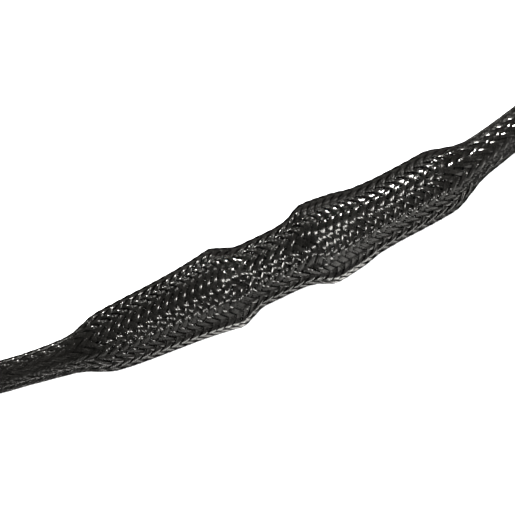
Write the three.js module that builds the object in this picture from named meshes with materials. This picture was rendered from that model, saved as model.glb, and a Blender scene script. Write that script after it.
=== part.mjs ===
// Braided cable sleeve: one cut length of expandable tubular braid in black plastic monofilament.
// Millimetres, +Z up. The sleeve lies on the floor z = 0 in a long gentle bow, its middle along +X.
// The origin is under the middle of its bounding box, on the floor.
// Distances "along" are measured on the sleeve's centreline, from the middle of its length.

import * as THREE from 'three';
import { mergeVertices } from 'three/addons/utils/BufferGeometryUtils.js';

// Stock
const LENGTH = 305;
const FILAMENT_DIAMETER = 0.25;
const BRAID_LAYERS = 2;
const WALL = BRAID_LAYERS * FILAMENT_DIAMETER;

// Outer diameters
const CUT_END_DIAMETER = 11;
const LEFT_TAIL_DIAMETER = 6.6;
const RIGHT_TAIL_DIAMETER = 7.7;
const LEFT_BODY_DIAMETER = 13.5;
const RIGHT_BODY_DIAMETER = 13.8;
const NECK_DIAMETER = 13.4;
const LEFT_BULGE_DIAMETER = 17.2;
const RIGHT_BULGE_DIAMETER = 17.5;

// Stations along the sleeve
const CUT_END_RELAX_LENGTH = 34;
const LEFT_SHOULDER_ALONG = -56;
const LEFT_BODY_ALONG = -32;
const LEFT_BULGE_ALONG = -10.9;
const NECK_START_ALONG = -5;
const NECK_END_ALONG = 1.5;
const RIGHT_BULGE_ALONG = 9.7;
const RIGHT_BODY_ALONG = 26;
const RIGHT_BODY_END_ALONG = 35.5;
const RIGHT_SHOULDER_ALONG = 56;

// Bow in plan: headings in degrees, 0 along +X, positive towards +Y
const LEFT_END_HEADING = -21;
const RIGHT_END_HEADING = 23;

// Faceting
const SIDES = 16;
const FINE_STEP = 2;
const COARSE_STEP = 9;
const INTEGRATION_STEP = 0.25;

const mix = (from, to, share) => from + (to - from) * share;

const LEFT_END_ALONG = -LENGTH / 2;
const RIGHT_END_ALONG = LENGTH / 2;

// Waypoints [distance along, value] of a stretch between two sizes, from shares of both
const stretch = (from, to, start, end, shares) =>
  shares.map(([way, change]) => [mix(from, to, way), mix(start, end, change)]);

// Outer diameter against distance along: the shoulders start softly and rise fast, and each bulge
// has one steep side, towards the neck, and one long side.
const DIAMETERS = [
  [LEFT_END_ALONG, CUT_END_DIAMETER],
  [LEFT_END_ALONG + CUT_END_RELAX_LENGTH, LEFT_TAIL_DIAMETER],
  [LEFT_SHOULDER_ALONG, LEFT_TAIL_DIAMETER],
  ...stretch(LEFT_SHOULDER_ALONG, LEFT_BODY_ALONG, LEFT_TAIL_DIAMETER, LEFT_BODY_DIAMETER,
    [[0.27, 0.06], [0.48, 0.17], [0.58, 0.35], [0.69, 0.65], [0.79, 0.86]]),
  [LEFT_BODY_ALONG, LEFT_BODY_DIAMETER],
  ...stretch(LEFT_BODY_ALONG, LEFT_BULGE_ALONG, LEFT_BODY_DIAMETER, LEFT_BULGE_DIAMETER,
    [[0.44, 0.3], [0.67, 0.51], [0.9, 0.84]]),
  [LEFT_BULGE_ALONG, LEFT_BULGE_DIAMETER],
  ...stretch(LEFT_BULGE_ALONG, NECK_START_ALONG, LEFT_BULGE_DIAMETER, NECK_DIAMETER,
    [[0.42, 0.44], [0.83, 0.93]]),
  [NECK_START_ALONG, NECK_DIAMETER],
  [NECK_END_ALONG, NECK_DIAMETER],
  ...stretch(NECK_END_ALONG, RIGHT_BULGE_ALONG, NECK_DIAMETER, RIGHT_BULGE_DIAMETER,
    [[0.26, 0.05], [0.55, 0.29], [0.84, 0.84]]),
  [RIGHT_BULGE_ALONG, RIGHT_BULGE_DIAMETER],
  ...stretch(RIGHT_BULGE_ALONG, RIGHT_BODY_ALONG, RIGHT_BULGE_DIAMETER, RIGHT_BODY_DIAMETER,
    [[0.36, 0.32], [0.65, 0.84]]),
  [RIGHT_BODY_ALONG, RIGHT_BODY_DIAMETER],
  [RIGHT_BODY_END_ALONG, RIGHT_BODY_DIAMETER],
  ...stretch(RIGHT_BODY_END_ALONG, RIGHT_SHOULDER_ALONG, RIGHT_BODY_DIAMETER, RIGHT_TAIL_DIAMETER,
    [[0.08, 0.04], [0.2, 0.29], [0.33, 0.62], [0.44, 0.83], [0.57, 0.93]]),
  [RIGHT_SHOULDER_ALONG, RIGHT_TAIL_DIAMETER],
  [RIGHT_END_ALONG - CUT_END_RELAX_LENGTH, RIGHT_TAIL_DIAMETER],
  [RIGHT_END_ALONG, CUT_END_DIAMETER],
];

// Heading in plan against distance along: nearly straight in the body, bending where it narrows.
const HEADINGS = [
  ...stretch(LEFT_END_ALONG, LEFT_SHOULDER_ALONG, LEFT_END_HEADING, 0, [[0, 0], [0.65, 0.05]]),
  ...stretch(LEFT_SHOULDER_ALONG, LEFT_BODY_ALONG, LEFT_END_HEADING, 0,
    [[0, 0.23], [0.4, 0.41], [0.6, 0.53], [0.8, 0.71]]),
  ...stretch(LEFT_BODY_ALONG, 0, LEFT_END_HEADING, 0, [[0, 0.81], [0.5, 0.93], [1, 1]]),
  ...stretch(RIGHT_BULGE_ALONG, RIGHT_BODY_ALONG, 0, RIGHT_END_HEADING, [[0, 0.04], [1, 0.18]]),
  ...stretch(RIGHT_BODY_END_ALONG, RIGHT_SHOULDER_ALONG, 0, RIGHT_END_HEADING,
    [[0, 0.38], [0.33, 0.6], [0.57, 0.79], [0.77, 0.88]]),
  ...stretch(RIGHT_SHOULDER_ALONG, RIGHT_END_ALONG, 0, RIGHT_END_HEADING, [[0.35, 0.96], [1, 1]]),
];

// Half the width across flats of a ring of the given outer diameter
const restRadius = (diameter) => (diameter / 2) * Math.cos(Math.PI / SIDES);

// Height of the centreline against distance along: it rests on both bulges and on both cut ends.
const HEIGHTS = [
  [LEFT_END_ALONG, restRadius(CUT_END_DIAMETER)],
  [LEFT_BULGE_ALONG, restRadius(LEFT_BULGE_DIAMETER)],
  [RIGHT_BULGE_ALONG, restRadius(RIGHT_BULGE_DIAMETER)],
  [RIGHT_END_ALONG, restRadius(CUT_END_DIAMETER)],
];

// Smooth curve through waypoints [distance, value] that never overshoots them
function smoothCurve(waypoints) {
  const slopes = waypoints.slice(1).map((point, i) =>
    (point[1] - waypoints[i][1]) / (point[0] - waypoints[i][0]));
  const tangents = waypoints.map((point, i) => {
    const before = slopes[i - 1] ?? 0;
    const after = slopes[i] ?? 0;
    return before * after > 0 ? (2 * before * after) / (before + after) : 0;
  });
  return (along) => {
    const next = waypoints.findIndex((point) => point[0] > along);
    const k = next < 0 ? waypoints.length - 2 : Math.max(0, next - 1);
    const span = waypoints[k + 1][0] - waypoints[k][0];
    const t = Math.min(1, Math.max(0, (along - waypoints[k][0]) / span));
    return waypoints[k][1] * (1 + 2 * t) * (1 - t) ** 2
      + waypoints[k + 1][1] * (3 - 2 * t) * t ** 2
      + span * tangents[k] * t * (1 - t) ** 2
      + span * tangents[k + 1] * (t - 1) * t ** 2;
  };
}

const outerDiameter = smoothCurve(DIAMETERS);
const heading = smoothCurve(HEADINGS);
const height = smoothCurve(HEIGHTS);

// Direction of the centreline at a distance along
function direction(along) {
  const turn = THREE.MathUtils.degToRad(heading(along));
  const rise = height(along + INTEGRATION_STEP) - height(along - INTEGRATION_STEP);
  const slope = rise / (2 * INTEGRATION_STEP);
  const level = Math.sqrt(1 - slope ** 2);
  return new THREE.Vector3(level * Math.cos(turn), level * Math.sin(turn), slope);
}

// Point of the centreline at each of the given distances, in growing order
function centrePoints(stations) {
  const point = new THREE.Vector3(0, 0, 0);
  let along = stations[0];
  return stations.map((station) => {
    while (along < station) {
      const step = Math.min(INTEGRATION_STEP, station - along);
      point.addScaledVector(direction(along + step / 2), step);
      along += step;
    }
    return new THREE.Vector3(point.x, point.y, height(station));
  });
}

// Stations of the rings: close together where the diameter changes, wide apart on the plain tails
function ringStations() {
  const spread = (from, to, step) => {
    const count = Math.max(1, Math.round((to - from) / step));
    return Array.from({ length: count }, (_, i) => mix(from, to, i / count));
  };
  return [
    ...spread(LEFT_END_ALONG, LEFT_SHOULDER_ALONG, COARSE_STEP),
    ...spread(LEFT_SHOULDER_ALONG, LEFT_BULGE_ALONG, FINE_STEP),
    ...spread(LEFT_BULGE_ALONG, RIGHT_BULGE_ALONG, FINE_STEP),
    ...spread(RIGHT_BULGE_ALONG, RIGHT_SHOULDER_ALONG, FINE_STEP),
    ...spread(RIGHT_SHOULDER_ALONG, RIGHT_END_ALONG, COARSE_STEP),
    RIGHT_END_ALONG,
  ];
}

// Tube wall turned straight, then bent ring by ring onto the centreline: the outline runs along
// the outside and back along the bore, and each of its points knows the ring that it belongs to.
function sleeveGeometry() {
  const stations = ringStations();
  const outline = [
    ...stations.map((along) => new THREE.Vector2(outerDiameter(along) / 2, along)),
    ...stations.toReversed().map((along) => new THREE.Vector2(outerDiameter(along) / 2 - WALL, along)),
  ];
  outline.push(outline[0].clone());
  const geometry = new THREE.LatheGeometry(outline, SIDES, Math.PI / SIDES);

  const centres = centrePoints(stations);
  const ringOfOutlinePoint = [...stations.keys(), ...[...stations.keys()].reverse(), 0];
  const upright = new THREE.Vector3(0, 0, 1);
  const frames = stations.map((along, i) => {
    const forward = direction(along);
    const side = new THREE.Vector3().crossVectors(forward, upright).normalize();
    const up = new THREE.Vector3().crossVectors(side, forward);
    return { centre: centres[i], side, up };
  });
  const position = geometry.getAttribute('position');
  for (let i = 0; i < position.count; i += 1) {
    const { centre, side, up } = frames[ringOfOutlinePoint[i % outline.length]];
    const bent = centre.clone()
      .addScaledVector(side, position.getX(i))
      .addScaledVector(up, position.getZ(i));
    position.setXYZ(i, bent.x, bent.y, bent.z);
  }
  geometry.deleteAttribute('normal');
  geometry.deleteAttribute('uv');

  geometry.computeBoundingBox();
  const middle = geometry.boundingBox.getCenter(new THREE.Vector3());
  geometry.translate(-middle.x, -middle.y, -geometry.boundingBox.min.z);
  const closed = mergeVertices(geometry, 1e-4);
  closed.computeVertexNormals();
  return closed;
}

const blackPlastic = new THREE.MeshStandardMaterial({ color: 0x111112, roughness: 0.3, metalness: 0 });

const sleeve = new THREE.Mesh(sleeveGeometry(), blackPlastic);
sleeve.name = 'braided_sleeve';

const group = new THREE.Group();
group.add(sleeve);

export default group;
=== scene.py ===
"""Braided cable sleeve: every monofilament of the braid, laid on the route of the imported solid."""
import math

import bpy
import numpy as np
from mathutils import Matrix, Vector


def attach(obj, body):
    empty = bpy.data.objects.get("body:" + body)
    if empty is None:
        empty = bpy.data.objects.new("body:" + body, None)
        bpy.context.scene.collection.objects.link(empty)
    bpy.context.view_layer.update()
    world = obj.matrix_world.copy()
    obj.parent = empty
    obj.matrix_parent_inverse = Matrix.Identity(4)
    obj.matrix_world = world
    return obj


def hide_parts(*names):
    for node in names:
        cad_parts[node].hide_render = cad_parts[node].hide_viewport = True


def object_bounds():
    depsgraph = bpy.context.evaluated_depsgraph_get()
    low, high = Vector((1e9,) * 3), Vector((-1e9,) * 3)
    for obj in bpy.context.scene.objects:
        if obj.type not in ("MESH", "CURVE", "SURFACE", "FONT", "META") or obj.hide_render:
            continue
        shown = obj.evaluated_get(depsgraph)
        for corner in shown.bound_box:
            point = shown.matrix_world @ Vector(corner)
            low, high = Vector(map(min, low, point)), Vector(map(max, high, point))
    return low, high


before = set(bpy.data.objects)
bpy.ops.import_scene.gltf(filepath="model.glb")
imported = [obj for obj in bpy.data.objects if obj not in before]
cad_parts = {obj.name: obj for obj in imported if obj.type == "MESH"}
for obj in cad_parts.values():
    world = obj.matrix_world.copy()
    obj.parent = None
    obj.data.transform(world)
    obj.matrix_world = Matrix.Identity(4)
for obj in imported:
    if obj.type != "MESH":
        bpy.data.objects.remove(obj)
cad_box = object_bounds()

MM = 0.001

# Sizes of the sleeve, in millimetres, as in the part's source
LENGTH = 305
CUT_END_DIAMETER = 11
LEFT_TAIL_DIAMETER = 6.6
RIGHT_TAIL_DIAMETER = 7.7
LEFT_BODY_DIAMETER = 13.5
RIGHT_BODY_DIAMETER = 13.8
NECK_DIAMETER = 13.4
LEFT_BULGE_DIAMETER = 17.2
RIGHT_BULGE_DIAMETER = 17.5
CUT_END_RELAX_LENGTH = 34
LEFT_SHOULDER_ALONG = -56
LEFT_BODY_ALONG = -32
LEFT_BULGE_ALONG = -10.9
NECK_START_ALONG = -5
NECK_END_ALONG = 1.5
RIGHT_BULGE_ALONG = 9.7
RIGHT_BODY_ALONG = 26
RIGHT_BODY_END_ALONG = 35.5
RIGHT_SHOULDER_ALONG = 56
LEFT_END_HEADING = -21
RIGHT_END_HEADING = 23
LEFT_END_ALONG = -LENGTH / 2
RIGHT_END_ALONG = LENGTH / 2

# The weave: bundles of filaments that pass over two and under two
BUNDLES_EACH_WAY = 18
FILAMENTS_IN_BUNDLE = 4
FLAT_WIDTH = 0.34
FLAT_HEIGHT = 0.21
SPACING_OVER = 0.2
SPACING_UNDER = 0.37
BUNDLE_CROWN = 0.01
WEAVE_RISE = 0.2
WEAVE_SQUARENESS = 0.8
YARN_BETWEEN_CROSSINGS = 3.14
SHORTEST_STEP = 1.6
STEP_SOFTENING = 0.2
CROSSINGS_IN_CYCLE = 4
ROW_ANGLE = 2 * math.pi / BUNDLES_EACH_WAY
FIRST_ROW_ANGLE = math.radians(17)

# How far bundles and filaments stray, and over how many crossings
BUNDLE_DRIFT = 0.035
BUNDLE_DRIFT_PERIODS = (37, 19.3, 11.7)
FILAMENT_DRIFT = 0.012
FILAMENT_DRIFT_PERIODS = (13, 7.1)
FILAMENT_LIFT = 0.012

# The melted bead on a cut filament: how far past the end, and how thick against the filament
MELTED_BEAD = ((0.05, 1.22), (0.13, 1.05), (0.18, 0.5))

# How finely a filament is meshed, and how the pieces and the cord's route are divided
SIDES = 6
CYCLE_SAMPLES = (0, 0.5, 1, 1.5, 2, 2.5, 3, 3.5)
CYCLES_EACH_WAY = 200
CROSSINGS_FREE_AT_ENDS = 0.06
BUNDLES_IN_PIECE = 6
ROUTE_STEP = 0.25

# The camera: how it looks at the sleeve, and the part of the sleeve that it aims at
CAMERA_ELEVATION = math.radians(38)
CAMERA_ROLL = math.radians(25.25)
CAMERA_DISTANCE = 700
CAMERA_AIM = (-2.58, 4.3, 8.82)
FRAME_WIDTH = 103
SENSOR_WIDTH = 36
FACING_ANGLE = math.pi / 2 - CAMERA_ELEVATION

# The studio, in metres. A light of one watt and one square metre has this radiance
FLOOR_SIZE = 12
CARD_HEIGHT = 0.0005
RADIANCE_OF_ONE_WATT = 0.08
WARM_WHITE = (1, 0.98, 0.93)


def mix(start, end, share):
    """The value that lies a share of the way from start to end."""
    return start + (end - start) * share


def stretch(start, end, start_value, end_value, shares):
    """Waypoints (distance along, value) of a stretch between two sizes, from shares of both."""
    return [(mix(start, end, way), mix(start_value, end_value, change)) for way, change in shares]


def smooth_curve(waypoints):
    """Smooth curve through (distance, value) waypoints that never overshoots them."""
    x, y = np.array(waypoints, float).T
    slope = np.diff(y) / np.diff(x)
    before = np.concatenate([[0], slope])
    after = np.concatenate([slope, [0]])
    same_way = before * after > 0
    total = np.where(same_way, before + after, 1)
    tangent = np.where(same_way, 2 * before * after / total, 0)

    def value(along):
        k = np.clip(np.searchsorted(x, along, side="right") - 1, 0, len(x) - 2)
        span = x[k + 1] - x[k]
        t = np.clip((along - x[k]) / span, 0, 1)
        return (
            y[k] * (1 + 2 * t) * (1 - t) ** 2
            + y[k + 1] * (3 - 2 * t) * t ** 2
            + span * tangent[k] * t * (1 - t) ** 2
            + span * tangent[k + 1] * (t - 1) * t ** 2
        )

    return value


def diameter_waypoints():
    left_shoulder = stretch(
        LEFT_SHOULDER_ALONG, LEFT_BODY_ALONG, LEFT_TAIL_DIAMETER, LEFT_BODY_DIAMETER,
        [(0, 0), (0.27, 0.06), (0.48, 0.17), (0.58, 0.35), (0.69, 0.65), (0.79, 0.86)])
    left_rise = stretch(
        LEFT_BODY_ALONG, LEFT_BULGE_ALONG, LEFT_BODY_DIAMETER, LEFT_BULGE_DIAMETER,
        [(0, 0), (0.44, 0.3), (0.67, 0.51), (0.9, 0.84)])
    left_fall = stretch(
        LEFT_BULGE_ALONG, NECK_START_ALONG, LEFT_BULGE_DIAMETER, NECK_DIAMETER,
        [(0, 0), (0.42, 0.44), (0.83, 0.93), (1, 1)])
    right_rise = stretch(
        NECK_END_ALONG, RIGHT_BULGE_ALONG, NECK_DIAMETER, RIGHT_BULGE_DIAMETER,
        [(0, 0), (0.26, 0.05), (0.55, 0.29), (0.84, 0.84)])
    right_fall = stretch(
        RIGHT_BULGE_ALONG, RIGHT_BODY_ALONG, RIGHT_BULGE_DIAMETER, RIGHT_BODY_DIAMETER,
        [(0, 0), (0.36, 0.32), (0.65, 0.84), (1, 1)])
    right_shoulder = stretch(
        RIGHT_BODY_END_ALONG, RIGHT_SHOULDER_ALONG, RIGHT_BODY_DIAMETER, RIGHT_TAIL_DIAMETER,
        [(0, 0), (0.08, 0.04), (0.2, 0.29), (0.33, 0.62), (0.44, 0.83), (0.57, 0.93), (1, 1)])
    return [
        (LEFT_END_ALONG, CUT_END_DIAMETER),
        (LEFT_END_ALONG + CUT_END_RELAX_LENGTH, LEFT_TAIL_DIAMETER),
        *left_shoulder, *left_rise, *left_fall, *right_rise, *right_fall, *right_shoulder,
        (RIGHT_END_ALONG - CUT_END_RELAX_LENGTH, RIGHT_TAIL_DIAMETER),
        (RIGHT_END_ALONG, CUT_END_DIAMETER),
    ]


def heading_waypoints():
    return [
        *stretch(LEFT_END_ALONG, LEFT_SHOULDER_ALONG, LEFT_END_HEADING, 0, [(0, 0), (0.65, 0.05)]),
        *stretch(LEFT_SHOULDER_ALONG, LEFT_BODY_ALONG, LEFT_END_HEADING, 0,
                 [(0, 0.23), (0.4, 0.41), (0.6, 0.53), (0.8, 0.71)]),
        *stretch(LEFT_BODY_ALONG, 0, LEFT_END_HEADING, 0, [(0, 0.81), (0.5, 0.93), (1, 1)]),
        *stretch(RIGHT_BULGE_ALONG, RIGHT_BODY_ALONG, 0, RIGHT_END_HEADING, [(0, 0.04), (1, 0.18)]),
        *stretch(RIGHT_BODY_END_ALONG, RIGHT_SHOULDER_ALONG, 0, RIGHT_END_HEADING,
                 [(0, 0.38), (0.33, 0.6), (0.57, 0.79), (0.77, 0.88)]),
        *stretch(RIGHT_SHOULDER_ALONG, RIGHT_END_ALONG, 0, RIGHT_END_HEADING,
                 [(0.35, 0.96), (1, 1)]),
    ]


outer_diameter = smooth_curve(diameter_waypoints())
heading = smooth_curve(heading_waypoints())
height = smooth_curve([
    (LEFT_END_ALONG, CUT_END_DIAMETER / 2),
    (LEFT_BULGE_ALONG, LEFT_BULGE_DIAMETER / 2),
    (RIGHT_BULGE_ALONG, RIGHT_BULGE_DIAMETER / 2),
    (RIGHT_END_ALONG, CUT_END_DIAMETER / 2),
])


class Route:
    """The sleeve's centreline: points, and the level and upright directions square to it."""

    def __init__(self):
        count = round(LENGTH / ROUTE_STEP)
        self.along = np.linspace(LEFT_END_ALONG, RIGHT_END_ALONG, count + 1)
        middle = (self.along[1:] + self.along[:-1]) / 2
        steps = self.direction(middle) * ROUTE_STEP
        points = np.vstack([[0, 0, 0], np.cumsum(steps, axis=0)])
        points[:, 2] = height(self.along)
        forward = self.direction(self.along)
        side = np.cross(forward, [0, 0, 1])
        self.side = side / np.linalg.norm(side, axis=1)[:, None]
        self.up = np.cross(self.side, forward)
        self.points = points + self.shift_into_frame(points)

    @staticmethod
    def direction(along):
        turn = np.radians(heading(along))
        slope = (height(along + ROUTE_STEP) - height(along - ROUTE_STEP)) / (2 * ROUTE_STEP)
        level = np.sqrt(1 - slope ** 2)
        return np.stack([level * np.cos(turn), level * np.sin(turn), slope], axis=1)

    def shift_into_frame(self, points):
        """The move that centres the route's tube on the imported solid's box."""
        radius = outer_diameter(self.along)[:, None] / 2
        level = np.abs(self.side[:, :2])
        low = (points[:, :2] - radius * level).min(axis=0)
        high = (points[:, :2] + radius * level).max(axis=0)
        box_middle = (np.array(cad_box[0]) + np.array(cad_box[1]))[:2] / (2 * MM)
        return np.append(box_middle - (low + high) / 2, 0)

    def at(self, along, values):
        return np.stack([np.interp(along, self.along, values[:, k]) for k in range(3)], axis=-1)

    def place(self, along, angle, radius):
        """Points at a distance along, an angle round from the upright, and a radius."""
        side = self.at(along, self.side) * np.sin(angle)[..., None]
        up = self.at(along, self.up) * np.cos(angle)[..., None]
        return self.at(along, self.points) + (side + up) * radius[..., None]


route = Route()


def braid_radius(along):
    """Radius of the surface in which the two sets of bundles cross."""
    return outer_diameter(along) / 2 - WEAVE_RISE - FLAT_HEIGHT / 2


def crossing_step(along):
    """Distance along the sleeve from one crossing to the next.

    The yarn between two crossings keeps its length, so where the sleeve is wide its rows lie
    close together, down to the step at which they jam.
    """
    width = braid_radius(along) * ROW_ANGLE
    free = np.sqrt(np.maximum(YARN_BETWEEN_CROSSINGS ** 2 - width ** 2, 0))
    spare = free - SHORTEST_STEP
    return SHORTEST_STEP + (spare + np.sqrt(spare ** 2 + STEP_SOFTENING ** 2)) / 2


route_step = crossing_step(route.along)
crossing_count = np.concatenate([
    [0], np.cumsum(ROUTE_STEP * 2 / (route_step[1:] + route_step[:-1]))])
crossing_count -= np.interp(0, route.along, crossing_count)


def weave(phase):
    """Height of a bundle in its weave, 1 over and -1 under, against its count of crossings."""
    wave = np.cos(math.pi * (phase - 0.5) / 2)
    return np.tanh(WEAVE_SQUARENESS * wave) / math.tanh(WEAVE_SQUARENESS)


def wander(rng, count, amplitude, periods):
    """Slow sideways drift along the sleeve, as a sum of waves, for each of a number of yarns."""
    waves = [(rng.uniform(0, 2 * math.pi, count), 2 * math.pi / period) for period in periods]

    def drift(index, crossings):
        return amplitude * sum(np.sin(start[index] + rate * crossings) for start, rate in waves)

    return drift


def sample_crossings(bundle, way):
    """Where a bundle is sampled, as crossing counts: the same places in each weave cycle."""
    low, high = crossing_count[0], crossing_count[-1]
    phases = np.array([
        CROSSINGS_IN_CYCLE * cycle + sample
        for cycle in range(-CYCLES_EACH_WAY, CYCLES_EACH_WAY) for sample in CYCLE_SAMPLES])
    crossings = np.sort(way * (phases - 2 * bundle) / 2)
    first, last = low + CROSSINGS_FREE_AT_ENDS, high - CROSSINGS_FREE_AT_ENDS
    inside = crossings[(crossings > first) & (crossings < last)]
    return np.concatenate([[low], inside, [high]])


def flat_tube(points, outward, swell):
    """Vertices of oval rings round a line of points, flat on the outward side."""
    tangent = np.gradient(points, axis=0)
    tangent /= np.linalg.norm(tangent, axis=1)[:, None]
    across = np.cross(tangent, outward)
    across /= np.linalg.norm(across, axis=1)[:, None]
    normal = np.cross(across, tangent)
    turn = (np.arange(SIDES) + 0.5) * 2 * math.pi / SIDES
    high = normal[:, None] * np.cos(turn)[:, None] * FLAT_HEIGHT / 2
    wide = across[:, None] * np.sin(turn)[:, None] * FLAT_WIDTH / 2
    return points[:, None] + (high + wide) * swell[:, None, None]


def with_melted_tips(points, outward):
    """The line with a rounded bead at both ends, where the hot knife melted the filament."""
    plain = np.ones(len(points))
    head = points[0] - points[1]
    head /= np.linalg.norm(head)
    tail = points[-1] - points[-2]
    tail /= np.linalg.norm(tail)
    before = [points[0] + head * reach for reach, _ in reversed(MELTED_BEAD)]
    after = [points[-1] + tail * reach for reach, _ in MELTED_BEAD]
    swell = np.array([size for _, size in MELTED_BEAD])
    return (
        np.vstack([before, points, after]),
        np.vstack([[outward[0]] * len(before), outward, [outward[-1]] * len(after)]),
        np.concatenate([swell[::-1], plain, swell]),
    )


rng = np.random.default_rng(20)
bundle_count = 2 * BUNDLES_EACH_WAY
filament_count = bundle_count * FILAMENTS_IN_BUNDLE
bundle_drift = wander(rng, bundle_count, BUNDLE_DRIFT, BUNDLE_DRIFT_PERIODS)
filament_drift = wander(rng, filament_count, FILAMENT_DRIFT, FILAMENT_DRIFT_PERIODS)
filament_lift = rng.uniform(-FILAMENT_LIFT, FILAMENT_LIFT, filament_count)


def filament(bundle, way, strand):
    """Rings of one filament. Way is 1 or -1, for the bundles that turn one way or the other."""
    crossings = sample_crossings(bundle, way)
    along = np.interp(crossings, crossing_count, route.along)
    base = braid_radius(along)
    step = crossing_step(along)
    yarn = np.hypot(step, base * ROW_ANGLE)
    room = base * ROW_ANGLE * step / yarn
    over = way * weave(2 * bundle + way * 2 * crossings)
    spacing = mix(SPACING_UNDER, SPACING_OVER, (over + 1) / 2)
    spacing = np.minimum(spacing, room / FILAMENTS_IN_BUNDLE)
    index = bundle + (BUNDLES_EACH_WAY if way < 0 else 0)
    thread = index * FILAMENTS_IN_BUNDLE + strand
    place_in_bundle = 2 * strand / (FILAMENTS_IN_BUNDLE - 1) - 1
    half_width = spacing * (FILAMENTS_IN_BUNDLE - 1) / 2
    sideways = (
        place_in_bundle * half_width
        + bundle_drift(index, crossings) + filament_drift(thread, crossings)
    )
    crown = BUNDLE_CROWN * (over + 1) / 2
    shift = sideways * yarn / (step * base)
    angle = FIRST_ROW_ANGLE + ROW_ANGLE * (bundle + way * crossings) + shift
    phase = 2 * bundle + way * 2 * crossings + shift / ROW_ANGLE
    radius = base + way * WEAVE_RISE * weave(phase) + filament_lift[thread]
    radius -= crown * place_in_bundle ** 2
    lean = 2 * crown * place_in_bundle / half_width
    around = FACING_ANGLE - angle
    points = route.place(along, around, radius)
    outward = route.place(along, around - lean * step / yarn, radius + 1) - points
    return flat_tube(*with_melted_tips(points, outward))


def crease_beside_tops(mesh):
    """Each filament's top stays flat across, so that it glints as one patch."""
    edges = np.empty(2 * len(mesh.edges), int)
    mesh.edges.foreach_get("vertices", edges)
    edges = np.sort(edges.reshape(-1, 2), axis=1)
    runs_along = edges[:, 1] - edges[:, 0] == SIDES
    beside_top = np.isin(edges[:, 0] % SIDES, (0, SIDES - 1))
    mesh.edges.foreach_set("use_edge_sharp", runs_along & beside_top)


def mesh_of_filaments(name, filaments):
    """One mesh of closed tubes."""
    vertices, quads, caps = [], [], []
    start = 0
    for rings in filaments:
        count = len(rings)
        ring_start = start + SIDES * np.arange(count - 1)[:, None]
        corner = np.arange(SIDES)[None, :]
        following = (corner + 1) % SIDES
        quads.append(np.stack([
            ring_start + corner, ring_start + following,
            ring_start + SIDES + following, ring_start + SIDES + corner], axis=-1).reshape(-1, 4))
        last = start + SIDES * (count - 1)
        caps.append(start + np.arange(SIDES)[::-1])
        caps.append(last + np.arange(SIDES))
        vertices.append(rings.reshape(-1, 3))
        start += SIDES * count
    vertices = np.concatenate(vertices) * MM
    quads = np.concatenate(quads)
    caps = np.array(caps)
    mesh = bpy.data.meshes.new(name)
    mesh.vertices.add(len(vertices))
    mesh.vertices.foreach_set("co", vertices.ravel())
    loops = np.concatenate([quads.ravel(), caps.ravel()])
    mesh.loops.add(len(loops))
    mesh.loops.foreach_set("vertex_index", loops)
    quad_starts = np.arange(len(quads)) * 4
    cap_starts = len(quads) * 4 + np.arange(len(caps)) * SIDES
    mesh.polygons.add(len(quads) + len(caps))
    mesh.polygons.foreach_set("loop_start", np.concatenate([quad_starts, cap_starts]))
    mesh.update(calc_edges=True)
    mesh.validate()
    mesh.shade_smooth()
    crease_beside_tops(mesh)
    piece = bpy.data.objects.new(name, mesh)
    bpy.context.scene.collection.objects.link(piece)
    return piece


def node(tree, kind, **inputs):
    """A new shader node with these input values."""
    made = tree.nodes.new(kind)
    for name, value in inputs.items():
        made.inputs[name].default_value = value
    return made


def monofilament_material():
    """Black polyester monofilament: glossy, with a fine grain and clouded patches."""
    material = bpy.data.materials.new("black_monofilament")
    material.use_nodes = True
    tree = material.node_tree
    shader = tree.nodes["Principled BSDF"]
    shader.inputs["IOR"].default_value = 1.45
    place = tree.nodes.new("ShaderNodeTexCoord")

    clouds = node(tree, "ShaderNodeTexNoise", Scale=420.0, Detail=3.0)
    tree.links.new(place.outputs["Object"], clouds.inputs["Vector"])
    colour = tree.nodes.new("ShaderNodeValToRGB")
    colour.color_ramp.elements[0].position = 0.35
    colour.color_ramp.elements[0].color = (0.0033, 0.0032, 0.003, 1)
    colour.color_ramp.elements[1].position = 0.7
    colour.color_ramp.elements[1].color = (0.0073, 0.0071, 0.0067, 1)
    tree.links.new(clouds.outputs["Fac"], colour.inputs["Fac"])
    tree.links.new(colour.outputs["Color"], shader.inputs["Base Color"])

    gloss = tree.nodes.new("ShaderNodeMapRange")
    gloss.inputs["To Min"].default_value = 0.11
    gloss.inputs["To Max"].default_value = 0.19
    tree.links.new(clouds.outputs["Fac"], gloss.inputs["Value"])
    tree.links.new(gloss.outputs["Result"], shader.inputs["Roughness"])

    grain = node(tree, "ShaderNodeTexNoise", Scale=9000.0, Detail=2.0)
    tree.links.new(place.outputs["Object"], grain.inputs["Vector"])
    bump = node(tree, "ShaderNodeBump", Strength=0.01, Distance=0.00001)
    tree.links.new(grain.outputs["Fac"], bump.inputs["Height"])
    tree.links.new(bump.outputs["Normal"], shader.inputs["Normal"])
    return material


def make_braid():
    """The braid as six pieces: for each way round, three groups of six bundles."""
    material = monofilament_material()
    pieces = []
    for way, way_name in ((1, "forward"), (-1, "backward")):
        for group in range(BUNDLES_EACH_WAY // BUNDLES_IN_PIECE):
            bundles = range(group * BUNDLES_IN_PIECE, (group + 1) * BUNDLES_IN_PIECE)
            filaments = [
                filament(bundle, way, strand)
                for bundle in bundles for strand in range(FILAMENTS_IN_BUNDLE)]
            piece = mesh_of_filaments(f"braid_{way_name}_{group + 1}", filaments)
            piece.data.materials.append(material)
            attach(piece, "root")
            pieces.append(piece)
    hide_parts("braided_sleeve")
    return pieces


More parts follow.
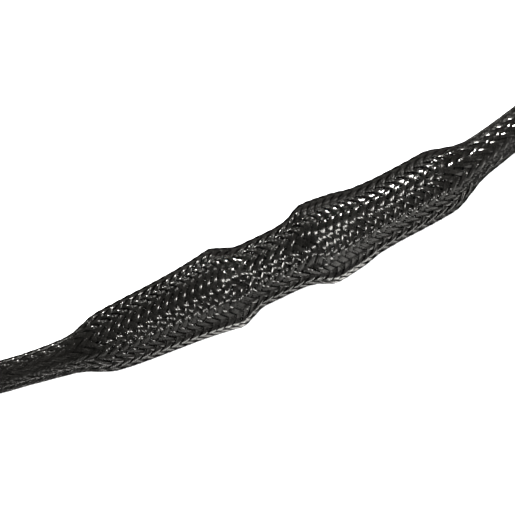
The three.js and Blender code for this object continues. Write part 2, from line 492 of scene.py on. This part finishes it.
def make_floor():
    """A plain white floor that the sleeve doesn't mirror: pale cards stand in for that."""
    half = FLOOR_SIZE / 2
    mesh = bpy.data.meshes.new("floor")
    corners = [(-half, -half, 0), (half, -half, 0), (half, half, 0), (-half, half, 0)]
    mesh.from_pydata(corners, [], [(0, 1, 2, 3)])
    floor = bpy.data.objects.new("floor", mesh)
    bpy.context.scene.collection.objects.link(floor)
    material = bpy.data.materials.new("white_floor")
    material.use_nodes = True
    shader = material.node_tree.nodes["Principled BSDF"]
    shader.inputs["Base Color"].default_value = (0.9, 0.9, 0.9, 1)
    shader.inputs["Roughness"].default_value = 0.9
    shader.inputs["Specular IOR Level"].default_value = 0
    floor.data.materials.append(material)
    floor.visible_glossy = False
    return floor


def make_camera():
    """A long lens that sees the sleeve's middle rise to the right, as in the photograph."""
    start = route.at(np.array([0.0]), route.points)[0]
    aim = np.array([start[0] + CAMERA_AIM[0], start[1] + CAMERA_AIM[1], CAMERA_AIM[2]]) * MM
    level_right = np.array([1, 0, 0])
    level_up = np.array([0, math.sin(CAMERA_ELEVATION), math.cos(CAMERA_ELEVATION)])
    back = np.array([0, -math.cos(CAMERA_ELEVATION), math.sin(CAMERA_ELEVATION)])
    right = math.cos(CAMERA_ROLL) * level_right - math.sin(CAMERA_ROLL) * level_up
    up = math.sin(CAMERA_ROLL) * level_right + math.cos(CAMERA_ROLL) * level_up
    data = bpy.data.cameras.new("camera")
    data.sensor_width = SENSOR_WIDTH
    data.lens = SENSOR_WIDTH * CAMERA_DISTANCE / FRAME_WIDTH
    data.clip_start = 0.01
    camera = bpy.data.objects.new("camera", data)
    bpy.context.scene.collection.objects.link(camera)
    turn = Matrix((right, up, back)).transposed().to_4x4()
    camera.matrix_world = Matrix.Translation(aim + back * CAMERA_DISTANCE * MM) @ turn
    bpy.context.scene.camera = camera


def area_light(name, place, aim, width, depth, radiance):
    """A rectangular light that shows in reflections and not to the camera itself."""
    data = bpy.data.lights.new(name, "AREA")
    data.shape = "RECTANGLE"
    data.size = width
    data.size_y = depth
    data.energy = radiance * width * depth / RADIANCE_OF_ONE_WATT
    data.color = WARM_WHITE
    light = bpy.data.objects.new(name, data)
    bpy.context.scene.collection.objects.link(light)
    light.visible_camera = False
    light.location = place
    light.rotation_euler = (Vector(aim) - Vector(place)).to_track_quat("-Z", "Y").to_euler()
    return light


def direction(azimuth, elevation):
    """Towards a light, in degrees. Azimuth 0 is the camera's side, and 90 the right."""
    azimuth = math.radians(azimuth)
    elevation = math.radians(elevation)
    return Vector((
        math.sin(azimuth) * math.cos(elevation),
        -math.cos(azimuth) * math.cos(elevation),
        math.sin(elevation)))


def lights_only(light, pieces):
    """The light reaches only these pieces."""
    lit = bpy.data.collections.new("lit_by_" + light.name)
    for piece in pieces:
        lit.objects.link(piece)
    light.light_linking.receiver_collection = lit


def light_floor(floor):
    """Even soft light on the floor. The main light's shadow falls behind, out of sight."""
    for name, elevation, strength, spread in (
        ("daylight_floor", 42, 16, 25),
        ("skylight_floor", 90, 1.2, 60),
    ):
        data = bpy.data.lights.new(name, "SUN")
        data.energy = strength
        data.angle = math.radians(spread)
        light = bpy.data.objects.new(name, data)
        bpy.context.scene.collection.objects.link(light)
        downwards = -direction(0, elevation)
        light.rotation_euler = downwards.to_track_quat("-Z", "Y").to_euler()
        lights_only(light, [floor])


def make_lights(pieces, floor):
    """Softboxes, a small lamp and pale cards for the sleeve alone, and the floor's own light."""
    light_floor(floor)
    middle = (0, 0, 0)
    softboxes = (
        # name, place, aim, width, depth, radiance
        ("softbox_top", (0.17, 0.02, 0.35), (0.02, 0, 0), 0.05, 0.05, 105),
        ("softbox_front", direction(0, 48) * 0.8, middle, 0.3, 0.1, 12),
        ("softbox_back", direction(180, 45) * 0.8, middle, 0.4, 0.08, 1),
        ("softbox_over", direction(180, 65) * 0.8, middle, 0.3, 0.08, 3),
        ("softbox_low", (0, -0.5, 0.03), (0, 0, 0.01), 0.3, 0.03, 10),
        ("lamp_left", (-0.045, 0.11, 0.1), (-0.035, -0.02, 0.015), 0.02, 0.012, 26),
    )
    cards = (
        # name, middle in x and y, width, depth, radiance
        ("card_left", -0.06, -0.05, 0.12, 0.03, 0.4),
        ("card_right", 0.06, -0.05, 0.12, 0.03, 0.8),
        ("card_under", 0, -0.0266, 0.14, 0.002, 1.2),
    )
    for name, place, aim, width, depth, radiance in softboxes:
        lights_only(area_light(name, place, aim, width, depth, radiance), pieces)
    for name, x, y, width, depth, radiance in cards:
        card = area_light(name, (x, y, CARD_HEIGHT), (x, y, 1), width, depth, radiance)
        lights_only(card, pieces)
    world = bpy.data.worlds.new("studio")
    bpy.context.scene.world = world
    world.use_nodes = True
    background = world.node_tree.nodes["Background"]
    background.inputs["Color"].default_value = (0.165, 0.16, 0.15, 1)


braid_pieces = make_braid()
white_floor = make_floor()
make_camera()
make_lights(braid_pieces, white_floor)
bpy.context.scene.view_settings.view_transform = "Standard"
